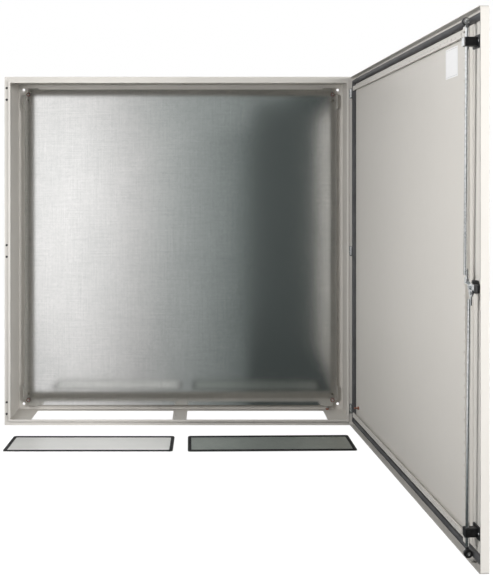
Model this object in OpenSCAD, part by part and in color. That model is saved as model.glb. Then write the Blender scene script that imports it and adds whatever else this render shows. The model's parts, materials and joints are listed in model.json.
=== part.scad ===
// Sheet-steel wall enclosure with one hinged door, a mounting plate and two
// bottom gland plates that have been taken off and laid on the floor in front.
// +Z is up, +X is to the right of a person facing the door, and the door faces -Y.
// The origin is the centre of the four wall holes, on the rear face of the body.

/* [Body] */
// Width of the body
body_w = 1200; // [900:10:1400]
// Height of the body
body_h = 1200; // [900:10:1400]
// Depth of the body from its rear face to its front flange
body_d = 226; // [180:1:400]
// Sheet thickness of the body
sheet_t = 1.5; // [1.2:0.1:2]
// Outer radius of the body's long edges
corner_r = 4; // [3:0.5:8]
// Width of the rain gutter, from the body's side to the sealing lip
gutter_w = 15; // [15:0.1:18]
// Width of the land on top of the sealing lip
lip_land = 7; // [5:0.5:10]
// Corner radius of the sealing lip
lip_r = 6; // [4:0.5:12]

/* [Rear wall] */
// Distance from each edge of the body to the wall holes
wall_hole_inset = 20; // [16:0.5:24]
// Diameter of the wall holes
wall_hole_dia = 10; // [8:0.5:12]

/* [Mounting plate] */
// Distance from the body's side to the plate's corner tabs
plate_side_gap = 23; // [20:1:40]
// Distance from the body's top or bottom to the plate's corner tabs
plate_end_gap = 16; // [14:1:30]
// Thickness of the mounting plate
plate_t = 2.5; // [2:0.1:3]
// Distance from the rear face of the body to the plate's front face
plate_front = 25; // [20:1:60]
// Depth of the plate's folded edges behind its front face
plate_fold = 15; // [8:0.5:18]
// How far the folded edges lie inside the corner tabs
plate_step = 5; // [3:0.5:8]
// Length of a corner tab along the plate's side
tab_side = 77; // [60:1:120]
// Length of a corner tab along the plate's top
tab_end = 55; // [50:1:90]
// Radius of the corner notch round a wall hole
notch_r = 22; // [18:0.5:23]
// Stud position in from the plate's side edge
stud_side = 19.5; // [18:0.5:24]
// Stud position in from the plate's top edge
stud_end = 24; // [22:0.5:30]
// Diameter of the mounting studs
stud_dia = 8; // [6:1:8]
// Distance from each stud to the spare hole beside it
spare_hole_pitch = 21; // [18:0.5:30]
// Diameter of the spare holes
spare_hole_dia = 9; // [6:0.5:10]

/* [Gland openings] */
// Length of each gland opening
gland_open_l = 498; // [300:2:500]
// Width of each gland opening
gland_open_w = 138; // [80:2:144]
// Corner radius of the gland openings
gland_open_r = 6; // [2:0.5:12]
// Width of the web between the two gland openings
gland_web = 50; // [44:1:60]
// Distance from the rear face to the gland openings
gland_back = 28; // [26:1:40]
// How far a gland plate overlaps its opening on each side
gland_lap = 15; // [14:0.5:16]
// Distance from a gland opening's edge to its row of screw holes
gland_row = 8.5; // [8:0.1:9]
// Pitch of the screw holes along a gland plate
gland_pitch = 123; // [60:1:130]
// Diameter of the screw holes in the bottom of the body
gland_hole_dia = 5.5; // [4:0.1:6]
// Diameter of the screw holes in a gland plate
gland_plate_hole_dia = 6.5; // [5:0.1:7]
// Thickness of a gland plate
gland_t = 1.5; // [1:0.1:1.5]
// Corner radius of a gland plate
gland_corner_r = 10; // [4:0.5:16]
// Width of the foam strip on a gland plate
gland_foam_w = 10; // [8.5:0.1:11]
// Thickness of the foam strip on a gland plate
gland_foam_t = 2; // [1.5:0.1:2]
// How far in front of the rear face the left plate's centre lies
left_plate_reach = 454; // [440:1:700]
// How far in front of the rear face the right plate's centre lies
right_plate_reach = 447; // [440:1:700]
// Gap between the two loose gland plates
plates_gap = 44; // [30:1:90]
// Where the middle of that gap lies across the floor
plates_mid = 14; // [0:1:40]
// How far the right plate lies turned
right_plate_turn = 1.2; // [0:0.1:3]

/* [Door] */
// Depth of the door from its face to the edge of its skirt
door_d = 19; // [18:0.5:24]
// Sheet thickness of the door
door_t = 1.5; // [1.2:0.1:2]
// How far the door's outline lies inside the body's on the left and right
door_inset = 3; // [2.8:0.1:3.2]
// How far the door's outline lies inside the body's at the top and bottom
door_end_inset = 4; // [3.8:0.1:5]
// Gap between the closed door's skirt and the body's front flange
door_gap = 5; // [4:0.1:7]
// Corner radius of the door
door_corner_r = 7; // [4:0.5:12]
// Angle at which the door stands open
door_open = 94; // [0:1:110]
// Distance from the door's edge to its foam seal
seal_inset = 9; // [8:0.5:10]
// Width of the foam seal
seal_w = 15; // [12:0.5:16]
// Height of the foam seal
seal_h = 12; // [10:0.5:13]

/* [Door rails] */
// Width of the perforated rails
rail_w = 14; // [12:1:16]
// Height of the perforated rails
rail_h = 12; // [8:0.5:14]
// Sheet thickness of the rails
rail_t = 1.5; // [1:0.1:2]
// Height of the lip folded back along the rails' open side
rail_lip = 4; // [3:0.5:6]
// Distance from the foam seal to the rails
rail_gap = 1.5; // [1:0.5:4]
// Width of the foot along the top and bottom rails
rail_foot = 8; // [6:1:12]
// Distance from the door's free edge to the upright rail's outer wall
rail_lock_inset = 104; // [104:1:120]
// Width of the foot along the upright rail
rail_lock_foot = 17; // [10:1:17]
// Diameter of the rail holes
rail_hole_dia = 4.5; // [3:0.5:5]
// Pitch of the rail holes
rail_pitch = 25; // [20:1:50]

/* [Hinges] */
// Distance from the body's side to the hinge axis and its screws
hinge_inset = 7.5; // [7.3:0.1:7.8]
// Distance of the hinge axis in front of the body's flange
hinge_reach = 10.5; // [10.2:0.1:11]
// Distance from the body's top or bottom to the end hinges
hinge_end = 59; // [50:1:120]
// Diameter of the hinge pins
hinge_pin_dia = 5; // [4:0.1:5.4]
// Outer diameter of the hinge knuckles
knuckle_dia = 7.8; // [7.4:0.1:7.8]
// Height of each knuckle on the body
knuckle_h = 8.7; // [6:0.1:11]
// Half the height of the knuckle on the door
eye_half = 4; // [3:0.1:6]
// Height of a hinge base
hinge_base_h = 56; // [52:1:70]
// Thickness of a hinge base
hinge_base_t = 2.5; // [2:0.1:2.6]
// Pitch of the two screws in a hinge base
hinge_pitch = 40; // [36:1:44]
// Diameter of the hinge screws
hinge_screw_dia = 4; // [3:0.5:4]

/* [Lock] */
// Distance from the door's free edge to the lock
lock_inset = 63; // [60:1:63]
// Outer diameter of the lock barrel
barrel_dia = 22; // [18:0.5:24]
// Diameter of the lock insert that the key turns
insert_dia = 12.4; // [10:0.1:13]
// Height of the lock nut
lock_nut_h = 9.5; // [6:0.5:10]
// Thickness of the cam plate
cam_t = 3; // [2.5:0.1:3.5]
// Radius at which the rods are pinned to the cam
cam_r = 16.5; // [16:0.1:17]
// Height of the rods above the door's inner face
rod_lift = 23; // [23:0.1:24]
// Diameter of the rods
rod_dia = 8; // [7.4:0.1:8]
// Diameter of the rollers
roller_dia = 19; // [18:0.1:19]
// Width of the rollers
roller_w = 7; // [5:0.5:9]
// Distance from the door's top or bottom to the rod guides
guide_end = 67; // [67:1:90]
// Width of a rod guide
guide_w = 19; // [18:0.5:24]
// Height of a rod guide
guide_h = 20; // [16:1:20]

/* [Earthing] */
// Diameter of the earthing studs
earth_dia = 6; // [5:1:6]
// Height of the earthing studs
earth_h = 16; // [12:1:18]

/* [Hidden] */
$fn = 48;

paint = [0.86, 0.85, 0.82];
galvanised = [0.66, 0.68, 0.67];
zinc = [0.78, 0.79, 0.80];
foam = [0.13, 0.13, 0.14];
black = [0.06, 0.06, 0.07];
copper = [0.62, 0.36, 0.26];

cut = 1;               // how far a cutting tool runs past a face
run = 0.05;            // radial running clearance of a pin or shaft
seat = 0.3;            // gap between parts of different bodies that meet
nut_flats = 1.625;     // width across the flats of a nut, in stud diameters
hex = 1 / cos(30);     // width across a hexagon's corners, in widths across its flats

flange_y = -body_d;
skirt_y = flange_y - door_gap;
face_y = skirt_y - door_d;
panel_y = face_y + door_t;
lip_y = panel_y + seal_h + seat;
rim_w = gutter_w + lip_land;
wall_hole_x = body_w / 2 - wall_hole_inset;
wall_hole_z = body_h / 2 - wall_hole_inset;

plate_w = body_w - 2 * plate_side_gap;
plate_h = body_h - 2 * plate_end_gap;
stud_x = plate_w / 2 - stud_side;
stud_z = plate_h / 2 - stud_end;
washer_t = 1.6;
nut_h = 0.8 * stud_dia;

door_w = body_w - 2 * door_inset;
door_h = body_h - 2 * door_end_inset;
hinge_x = body_w / 2 - hinge_inset;
hinge_y = flange_y - hinge_reach;
hinge_z = [-body_h / 2 + hinge_end, 0, body_h / 2 - hinge_end];
knuckle_z = eye_half + seat;
pin_head_h = 2;
skirt_notch_h = 2 * (knuckle_z + knuckle_h + pin_head_h + 2);

gland_x = gland_web / 2 + gland_open_l / 2;
gland_y = -gland_back - gland_open_w / 2;
plates_step = plates_gap / 2 + gland_open_l / 2 + gland_lap;
left_plate_x = plates_mid - plates_step;
right_plate_x = plates_mid + plates_step;

rail_out = seal_inset + seal_w + rail_gap;
rail_x0 = -door_w / 2 + rail_lock_inset;
rail_x1 = door_w / 2 - rail_out;
rail_z1 = door_h / 2 - rail_out;

lock_x = -door_w / 2 + lock_inset;
barrel_h = lock_nut_h + 2;
lip_in = gutter_w + sheet_t;             // from the body's side to the inside of its lip
pin_off = cam_r / sqrt(2);               // a cam pin stands 45 degrees off the horizontal
travel = 2 * pin_off;                    // how far a quarter turn of the lock moves a rod
eye_t = 2.5;
cam_top = rod_lift - rod_dia / 2 - 1;
cam_low = cam_top - cam_t;
eye_low = cam_top + seat;
rod_y = panel_y + rod_lift;
roller_z = body_h / 2 - lip_in - roller_dia / 2 - 0.4;
rod_rise = roller_z - pin_off;           // from a cam pin to its roller, along Z
rod_tilt = atan(pin_off / rod_rise);
guide_z = door_h / 2 - guide_end;
guide_bore = rod_dia / 2 + 0.8;
guide_top = rod_lift + guide_bore + 2;
// The slanting rod drifts a little sideways as it slides, so its guide is bored off centre.
guide_shift = pin_off * (roller_z - guide_z - travel / 2) / rod_rise;
tongue_r = body_w / 2 - lip_in + lock_x - 0.5;

// ---- helpers ----

// Extrudes a sketch drawn in X and Z from y0 to y1.
module along_y(y0, y1) {
    translate([0, y1, 0]) rotate([90, 0, 0]) linear_extrude(y1 - y0) children();
}

// The same, with both ends given as heights above the door's inner face.
module raised(h0, h1) {
    along_y(panel_y + h0, panel_y + h1) children();
}

// Turns door parts, drawn with the door shut, to where the door stands open.
module on_door() {
    translate([hinge_x, hinge_y, 0]) rotate([0, 0, door_open])
        translate([-hinge_x, -hinge_y, 0]) children();
}

// Turns a part half a turn about the lock's axis, as the lower rod is to the upper.
module half_turn() {
    translate([lock_x, 0, 0]) rotate([0, 180, 0]) translate([-lock_x, 0, 0]) children();
}

module rounded_rect(w, h, r) {
    square([w - 2 * r, h], center = true);
    square([w, h - 2 * r], center = true);
    for (x = [-1, 1], z = [-1, 1])
        translate([x * (w / 2 - r), z * (h / 2 - r)]) circle(r);
}

// A rectangular ring t wide, with outer corner radius r and inner corner radius ri.
module ring(w, h, r, t, ri) {
    difference() {
        rounded_rect(w, h, r);
        rounded_rect(w - 2 * t, h - 2 * t, ri);
    }
}

module at_corners(x, z) {
    for (sx = [-1, 1], sz = [-1, 1]) translate([sx * x, sz * z]) children();
}

module hexagon(flats) {
    circle(d = flats * hex, $fn = 6);
}

// ---- body ----

// The four folded walls in one: side sheet, front flange, sealing lip and its land.
module body_ring() {
    lip_w = body_w - 2 * gutter_w;
    lip_h = body_h - 2 * gutter_w;
    lip_ri = lip_r - sheet_t;
    along_y(flange_y, 0) ring(body_w, body_h, corner_r, sheet_t, corner_r - sheet_t);
    along_y(flange_y, flange_y + sheet_t)
        ring(body_w, body_h, corner_r, gutter_w + sheet_t, lip_ri);
    along_y(lip_y, flange_y + sheet_t) ring(lip_w, lip_h, lip_r, sheet_t, lip_ri);
    along_y(lip_y, lip_y + sheet_t) ring(lip_w, lip_h, lip_r, lip_land, 2);
}

// The quarter of the body on one side, cut by 45 degree mitres: w is the size across
// that side, and h the size along it. It is drawn for the left side.
module mitre(w, h) {
    out = 10;
    deep = rim_w + 10;
    along_y(lip_y - cut, cut) polygon([
        [-w / 2 - out, -h / 2 - out],
        [-w / 2 + deep, -h / 2 + deep],
        [-w / 2 + deep, h / 2 - deep],
        [-w / 2 - out, h / 2 + out]
    ]);
}

module hinge_holes() {
    for (z = hinge_z, s = [-1, 1])
        along_y(flange_y - cut, flange_y + sheet_t + cut)
            translate([hinge_x, z + s * hinge_pitch / 2]) circle(d = hinge_screw_dia + 0.5);
}

module left_wall() {
    color(paint) difference() {
        intersection() {
            body_ring();
            mitre(body_w, body_h);
        }
        mirror([1, 0, 0]) hinge_holes();
    }
}

module right_wall() {
    color(paint) difference() {
        intersection() {
            body_ring();
            mirror([1, 0, 0]) mitre(body_w, body_h);
        }
        hinge_holes();
        along_y(flange_y - cut, flange_y + sheet_t + cut)
            translate([hinge_x, -spare_plug_drop]) circle(d = hinge_screw_dia + 0.5);
    }
}

module top_wall() {
    color(paint) intersection() {
        body_ring();
        rotate([0, 90, 0]) mitre(body_h, body_w);
    }
}

// The screw holes round a gland opening, of diameter d, as a sketch.
module gland_holes(d) {
    for (i = [-1.5:1:1.5], s = [-1, 1])
        translate([i * gland_pitch, s * (gland_open_w / 2 + gland_row)]) circle(d = d);
    for (s = [-1, 1]) translate([s * (gland_open_l / 2 + gland_row), 0]) circle(d = d);
}

module bottom_wall() {
    color(paint) difference() {
        intersection() {
            body_ring();
            rotate([0, -90, 0]) mitre(body_h, body_w);
        }
        for (s = [-1, 1])
            translate([s * gland_x, gland_y, -body_h / 2 - cut]) linear_extrude(sheet_t + 2 * cut) {
                rounded_rect(gland_open_l, gland_open_w, gland_open_r);
                gland_holes(gland_hole_dia);
            }
    }
}

module rear_wall() {
    color(paint) along_y(-sheet_t, 0) difference() {
        rounded_rect(body_w - 2 * sheet_t, body_h - 2 * sheet_t, corner_r - sheet_t);
        at_corners(wall_hole_x, wall_hole_z) circle(d = wall_hole_dia);
    }
}

// ---- mounting plate ----

module plate_outline() {
    difference() {
        square([plate_w, plate_h], center = true);
        for (s = [-1, 1]) {
            translate([s * plate_w / 2, 0])
                square([2 * plate_step, plate_h - 2 * tab_side], center = true);
            translate([0, s * plate_h / 2])
                square([plate_w - 2 * tab_end, 2 * plate_step], center = true);
        }
        at_corners(wall_hole_x, wall_hole_z) circle(notch_r);
        at_corners(stud_x, stud_z) circle(d = stud_dia + 1);
        at_corners(stud_x, stud_z - spare_hole_pitch) circle(d = spare_hole_dia);
    }
}

module mounting_plate() {
    fold_x = plate_w / 2 - plate_step;
    fold_z = plate_h / 2 - plate_step;
    color(galvanised) {
        along_y(-plate_front, -plate_front + plate_t) plate_outline();
        along_y(-plate_front, -plate_front + plate_fold) {
            for (s = [-1, 1]) {
                translate([s * (fold_x - plate_t / 2), 0])
                    square([plate_t, plate_h - 2 * tab_side], center = true);
                translate([0, s * (fold_z - plate_t / 2)])
                    square([plate_w - 2 * tab_end, plate_t], center = true);
            }
        }
    }
}

stud_tip = plate_front + washer_t + nut_h + 4;

module plate_studs() {
    color(zinc) along_y(-stud_tip, -sheet_t) at_corners(stud_x, stud_z) circle(d = stud_dia);
}

module plate_spacers() {
    color(zinc) along_y(-plate_front + plate_t, -sheet_t) at_corners(stud_x, stud_z)
        difference() {
            circle(stud_dia);
            circle(d = stud_dia + 2 * run);
        }
}

module plate_washers() {
    color(zinc) along_y(-plate_front - washer_t, -plate_front) at_corners(stud_x, stud_z)
        difference() {
            circle(stud_dia);
            circle(d = stud_dia + 2 * run);
        }
}

module plate_nuts() {
    color(zinc) along_y(-plate_front - washer_t - nut_h, -plate_front - washer_t)
        at_corners(stud_x, stud_z) difference() {
            hexagon(nut_flats * stud_dia);
            circle(d = stud_dia + 2 * run);
        }
}

// ---- hinges ----

base_y = flange_y - hinge_base_t;
base_x0 = hinge_x - 5;
base_x1 = hinge_x + 5;
spare_plug_drop = hinge_base_h / 2 + 7;

module at_hinges() {
    for (z = hinge_z) translate([0, 0, z]) children();
}

// A countersunk screw's head, its wide end flush with the front of the hinge base.
module screw_head(clear) {
    head_r = hinge_screw_dia * 0.9 + clear;
    rotate([-90, 0, 0]) cylinder(r1 = head_r, r2 = hinge_screw_dia / 2 + clear, h = 2);
}

module hinge_screw_places() {
    for (s = [-1, 1]) translate([hinge_x, base_y, s * hinge_pitch / 2]) children();
}

module hinge_base() {
    arm_x1 = hinge_x + 2;
    difference() {
        union() {
            translate([base_x0, base_y, -hinge_base_h / 2])
                cube([base_x1 - base_x0, hinge_base_t, hinge_base_h]);
            for (s = [-1, 1]) {
                low = s > 0 ? knuckle_z : -knuckle_z - knuckle_h;
                translate([hinge_x, hinge_y, low]) cylinder(d = knuckle_dia, h = knuckle_h);
                translate([hinge_x - knuckle_dia / 2, hinge_y, low])
                    cube([arm_x1 - hinge_x + knuckle_dia / 2, base_y - hinge_y + 0.5, knuckle_h]);
            }
        }
        translate([hinge_x, hinge_y, -hinge_base_h / 2])
            cylinder(d = hinge_pin_dia + 2 * run, h = hinge_base_h);
        hinge_screw_places() {
            screw_head(run);
            rotate([-90, 0, 0]) cylinder(d = hinge_screw_dia + 2 * run, h = hinge_base_t + cut);
        }
    }
}

module hinge_bases() {
    color(zinc) at_hinges() hinge_base();
}

module hinge_screws() {
    color(zinc) at_hinges() hinge_screw_places() {
        screw_head(0);
        rotate([-90, 0, 0]) cylinder(d = hinge_screw_dia, h = 12);
    }
}

module hinge_pins() {
    top = knuckle_z + knuckle_h;
    color(zinc) at_hinges() translate([hinge_x, hinge_y, -top]) {
        cylinder(d = hinge_pin_dia, h = 2 * top);
        translate([0, 0, 2 * top]) cylinder(d = knuckle_dia - 0.6, h = pin_head_h);
    }
}

// Black plugs in the spare hinge holes on the left, and in one under the middle hinge.
module hole_plug() {
    along_y(flange_y - 1.2, flange_y) circle(4);
    along_y(flange_y, flange_y + sheet_t + 2) circle(d = hinge_screw_dia + 0.5);
}

module hole_plugs() {
    color(black) for (z = hinge_z, s = [-1, 1])
        translate([-hinge_x, 0, z + s * hinge_pitch / 2]) hole_plug();
    color(black) translate([hinge_x, 0, -spare_plug_drop]) hole_plug();
}

// ---- earthing ----

earth_x = body_w / 2 - 60;
earth_y = -13;
door_earth_x = door_w / 2 - 64;
door_earth_z = -door_h / 2 + 72;

module earth_stud() {
    color(zinc) translate([earth_x, earth_y, -body_h / 2 + sheet_t])
        cylinder(d = earth_dia, h = earth_h);
}

module earth_nut() {
    color(copper) translate([earth_x, earth_y, -body_h / 2 + sheet_t])
        linear_extrude(0.8 * earth_dia) difference() {
            hexagon(nut_flats * earth_dia);
            circle(d = earth_dia + 2 * run);
        }
}

module door_earth_stud() {
    color(zinc) on_door() raised(0, earth_h)
        translate([door_earth_x, door_earth_z]) circle(d = earth_dia);
}

module door_earth_nut() {
    color(copper) on_door() raised(0, 0.8 * earth_dia)
        translate([door_earth_x, door_earth_z]) difference() {
            hexagon(nut_flats * earth_dia);
            circle(d = earth_dia + 2 * run);
        }
}

// ---- gland plates, laid foam side up on the floor ----

module gland_outline() {
    rounded_rect(gland_open_l + 2 * gland_lap, gland_open_w + 2 * gland_lap, gland_corner_r);
}

// Lays a plate on the floor, drawn flat about the origin with its underside at zero.
module laid(x, reach, turn) {
    translate([x, -reach, -body_h / 2]) rotate([0, 0, turn]) children();
}

module gland_plate() {
    linear_extrude(gland_t) difference() {
        gland_outline();
        gland_holes(gland_plate_hole_dia);
    }
}

module gland_foam() {
    edge = gland_lap - gland_row - gland_foam_w / 2;
    translate([0, 0, gland_t]) linear_extrude(gland_foam_t) difference() {
        ring(gland_open_l + 2 * gland_lap - 2 * edge, gland_open_w + 2 * gland_lap - 2 * edge,
             gland_corner_r - edge, gland_foam_w, 2);
        gland_holes(gland_plate_hole_dia);
    }
}

module gland_plate_left() {
    color(galvanised) laid(left_plate_x, left_plate_reach, 0) gland_plate();
}

module gland_foam_left() {
    color(foam) laid(left_plate_x, left_plate_reach, 0) gland_foam();
}

module gland_plate_right() {
    color(galvanised) laid(right_plate_x, right_plate_reach, right_plate_turn) gland_plate();
}

module gland_foam_right() {
    color(foam) laid(right_plate_x, right_plate_reach, right_plate_turn) gland_foam();
}

// ---- door ----

lock_hole_dia = barrel_dia + 0.2;

module door_shell() {
    color(paint) on_door() difference() {
        union() {
            along_y(face_y, panel_y) rounded_rect(door_w, door_h, door_corner_r);
            along_y(face_y, skirt_y)
                ring(door_w, door_h, door_corner_r, door_t, door_corner_r - door_t);
        }
        // The hinge knuckles swing through these notches.
        at_hinges() translate([hinge_x - 1, hinge_y - 6, -skirt_notch_h / 2])
            cube([20, 40, skirt_notch_h]);
        along_y(face_y - cut, panel_y + cut) translate([lock_x, 0]) circle(d = lock_hole_dia);
    }
}

module door_seal() {
    w = door_w - 2 * seal_inset;
    h = door_h - 2 * seal_inset;
    color(foam) on_door() raised(0, seal_h) ring(w, h, 8, seal_w, 3);
}

// A perforated rail of length l along X, centred on its sketch's origin: a foot along its
// upper side, a wall up from the door, and a lip folded back above its open lower side.
module rail(l, foot) {
    holes = floor((l / 2 - 30) / rail_pitch);
    difference() {
        union() {
            raised(0, rail_h) square([l, rail_w], center = true);
            raised(0, rail_t) translate([-l / 2, 0]) square([l, rail_w / 2 + foot]);
        }
        raised(-cut, rail_h - rail_t) square([l + 2 * cut, rail_w - 2 * rail_t], center = true);
        raised(-cut, rail_h - rail_lip) translate([-l / 2 - cut, -rail_w / 2 - cut])
            square([l + 2 * cut, rail_t + 2 * cut]);
        raised(rail_h - rail_t - cut, rail_h + cut) {
            for (i = [-holes:holes]) translate([i * rail_pitch, 0]) circle(d = rail_hole_dia);
            for (s = [-1, 1]) translate([s * (l / 2 - 12), 0]) square([5, 8], center = true);
        }
    }
}

// The top rail: it runs from the upright rail to the seal on the hinge side.
module rail_across() {
    from = rail_x0 + rail_w;
    translate([(from + rail_x1) / 2, 0, rail_z1 - rail_foot - rail_w / 2])
        rail(rail_x1 - from, rail_foot);
}

module rail_top() {
    color(paint) on_door() rail_across();
}

module rail_bottom() {
    color(paint) on_door() mirror([0, 0, 1]) rail_across();
}

module rail_lock_side() {
    color(paint) on_door() translate([rail_x0 + rail_w / 2, 0, 0]) rotate([0, -90, 0])
        rail(2 * rail_z1, rail_lock_foot);
}

// The door's half of each hinge: foot on the door's inner face, web and knuckle.
module hinge_leaf() {
    foot_h = 50;
    foot_t = 2.5;
    difference() {
        union() {
            translate([hinge_x - 3.8, panel_y, -foot_h / 2]) cube([6.6, foot_t, foot_h]);
            translate([hinge_x - 2, panel_y, -eye_half])
                cube([3, hinge_y - panel_y, 2 * eye_half]);
            translate([hinge_x, hinge_y, -eye_half]) cylinder(d = knuckle_dia, h = 2 * eye_half);
        }
        translate([hinge_x, hinge_y, -eye_half - cut])
            cylinder(d = hinge_pin_dia + 2 * run, h = 2 * (eye_half + cut));
    }
}

module hinge_leaves() {
    color(zinc) on_door() at_hinges() hinge_leaf();
}

// ---- lock ----

module lock_barrel() {
    color(black) on_door() difference() {
        union() {
            raised(-door_t - 2.5, -door_t) translate([lock_x, 0]) circle(d = barrel_dia + 8);
            raised(-door_t, barrel_h) translate([lock_x, 0]) circle(d = barrel_dia);
        }
        raised(-door_t - 2.5 - cut, barrel_h + cut)
            translate([lock_x, 0]) circle(d = insert_dia + 2 * run);
    }
}

module lock_nut() {
    color(black) on_door() raised(0, lock_nut_h)
        translate([lock_x, 0]) difference() {
            hexagon(barrel_dia + 6);
            circle(d = lock_hole_dia);
        }
}

module lock_insert() {
    bit_depth = 7;
    face = -door_t - 2;
    color(zinc) on_door() {
        difference() {
            raised(face, barrel_h + 0.2) translate([lock_x, 0]) circle(d = insert_dia);
            raised(face - cut, face + bit_depth) translate([lock_x, 0]) difference() {
                circle(d = insert_dia - 3);
                circle(1.6);
                square([7.4, 2.2], center = true);
            }
        }
        raised(barrel_h + 0.2, cam_low) translate([lock_x, 0]) circle(7);
        raised(cam_low, cam_top) translate([lock_x, 0]) square(8, center = true);
    }
}

// The pins are on a 45 degree arm. The tongue runs behind the land of the sealing lip.
module lock_cam() {
    pad_r = 7;
    tongue_w = 14;
    color(zinc) on_door() difference() {
        raised(cam_low, cam_top) translate([lock_x, 0]) {
            circle(11);
            rotate(45) {
                square([2 * cam_r, 2 * pad_r - 1.5], center = true);
                for (s = [-1, 1]) translate([s * cam_r, 0]) circle(pad_r);
            }
            intersection() {
                circle(tongue_r);
                translate([-tongue_r - 1, -tongue_w / 2]) square([tongue_r + 1, tongue_w]);
            }
        }
        raised(cam_low - cut, cam_top + cut) translate([lock_x, 0]) {
            square(8 + 2 * run, center = true);
            rotate(45) for (s = [-1, 1]) translate([s * cam_r, 0]) circle(3 + run);
        }
    }
}

module cam_pins() {
    head_low = eye_low + eye_t + seat;
    color(zinc) on_door() for (s = [-1, 1]) {
        raised(cam_low, head_low) translate([lock_x + s * pin_off, s * pin_off]) circle(3);
        raised(head_low, head_low + 1.5)
            translate([lock_x + s * pin_off, s * pin_off]) circle(4.8);
    }
}

module cam_screw() {
    color(zinc) on_door() raised(cam_top, cam_top + 3) translate([lock_x, 0]) difference() {
        circle(5.8);
        square([9, 1.4], center = true);
    }
}

// ---- rods ----

roller_axle = 2.5;
rod_end_r = 8;
rod_end_t = 3;
rod_foot = 13;                           // from a cam pin to the round part of its rod
slot_r = 3.7;                            // half the width of the slot round a cam pin

// The slot in a rod's plate: the cam pin bulges out along it as the cam turns.
module eye_slot() {
    bulge = cam_r - pin_off;
    circle(slot_r);
    translate([bulge, 0]) circle(slot_r);
    translate([0, -slot_r]) square([bulge, 2 * slot_r]);
}

// The upper rod in its locked place: slotted plate, slanting round rod, flat neck and eye.
module rod() {
    bulge = cam_r - pin_off;
    neck = roller_dia / 2 + 5;
    difference() {
        union() {
            raised(eye_low, eye_low + eye_t) translate([lock_x + pin_off, pin_off]) {
                translate([-5, -7]) square([bulge + 10.6, 14]);
                translate([-5, 0]) square([10, rod_foot + 14]);
            }
            translate([lock_x + pin_off, rod_y, pin_off]) rotate([0, -rod_tilt, 0])
                translate([0, 0, rod_foot])
                    cylinder(d = rod_dia, h = rod_rise / cos(rod_tilt) - rod_foot - neck);
            translate([lock_x - rod_end_t / 2, rod_y - rod_dia / 2 + 0.2, roller_z - neck - 4])
                cube([rod_end_t, rod_dia - 0.4, neck + 4]);
            translate([lock_x - rod_end_t / 2, rod_y, roller_z]) rotate([0, 90, 0])
                cylinder(r = rod_end_r, h = rod_end_t);
        }
        raised(eye_low - cut, eye_low + eye_t + cut)
            translate([lock_x + pin_off, pin_off]) eye_slot();
        translate([lock_x - rod_end_t, rod_y, roller_z]) rotate([0, 90, 0])
            cylinder(r = roller_axle + run, h = 2 * rod_end_t);
    }
}

// The rivet that carries a roller: a wide head beside the rod, a small one outside.
module roller_pin() {
    far = rod_end_t / 2 + seat + roller_w + seat;
    translate([lock_x, rod_y, roller_z]) rotate([0, 90, 0]) {
        translate([0, 0, -rod_end_t / 2 - 1.6]) cylinder(r = 4.6, h = 1.6);
        translate([0, 0, -rod_end_t / 2]) cylinder(r = roller_axle, h = far + rod_end_t / 2);
        translate([0, 0, far]) cylinder(r = 3.4, h = 1.2);
    }
}

module roller() {
    translate([lock_x + rod_end_t / 2 + seat, rod_y, roller_z]) rotate([0, 90, 0])
        difference() {
            cylinder(d = roller_dia, h = roller_w);
            translate([0, 0, -cut]) cylinder(r = roller_axle + run, h = roller_w + 2 * cut);
        }
}

module upper_rod() {
    color(zinc) on_door() rod();
}

module upper_roller_pin() {
    color(zinc) on_door() roller_pin();
}

module upper_roller() {
    color(black) on_door() roller();
}

module lower_rod() {
    color(zinc) on_door() half_turn() rod();
}

module lower_roller_pin() {
    color(zinc) on_door() half_turn() roller_pin();
}

module lower_roller() {
    color(black) on_door() half_turn() roller();
}

module rod_guide() {
    difference() {
        union() {
            raised(0, 3) translate([lock_x, guide_z]) rounded_rect(42, guide_h + 8, 4);
            raised(3, guide_top) translate([lock_x, guide_z]) rounded_rect(guide_w, guide_h, 3);
        }
        translate([lock_x + guide_shift, rod_y, guide_z - guide_h])
            cylinder(r = guide_bore, h = 2 * guide_h);
    }
}

module rod_guide_upper() {
    color(black) on_door() rod_guide();
}

module rod_guide_lower() {
    color(black) on_door() half_turn() rod_guide();
}

module guide_cap() {
    color(zinc) on_door() raised(guide_top, guide_top + 2.5)
        translate([lock_x, guide_z]) rounded_rect(guide_w - 3, guide_h - 2, 2);
}

left_wall();
right_wall();
top_wall();
bottom_wall();
rear_wall();
mounting_plate();
plate_studs();
plate_spacers();
plate_washers();
plate_nuts();
hinge_bases();
hinge_screws();
hinge_pins();
hole_plugs();
earth_stud();
earth_nut();
gland_plate_left();
gland_foam_left();
gland_plate_right();
gland_foam_right();
door_shell();
door_seal();
rail_top();
rail_bottom();
rail_lock_side();
hinge_leaves();
lock_barrel();
lock_nut();
rod_guide_upper();
rod_guide_lower();
guide_cap();
door_earth_stud();
door_earth_nut();
lock_insert();
lock_cam();
cam_pins();
cam_screw();
upper_rod();
upper_roller_pin();
upper_roller();
lower_rod();
lower_roller_pin();
lower_roller();
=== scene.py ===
"""Looks of a sheet-steel wall enclosure: finishes, seals, small fittings, light, camera."""

import json
import logging
import math
from dataclasses import dataclass
from enum import Enum
from typing import Protocol, Sequence

import bmesh
import bpy
from mathutils import Matrix, Vector


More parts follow.
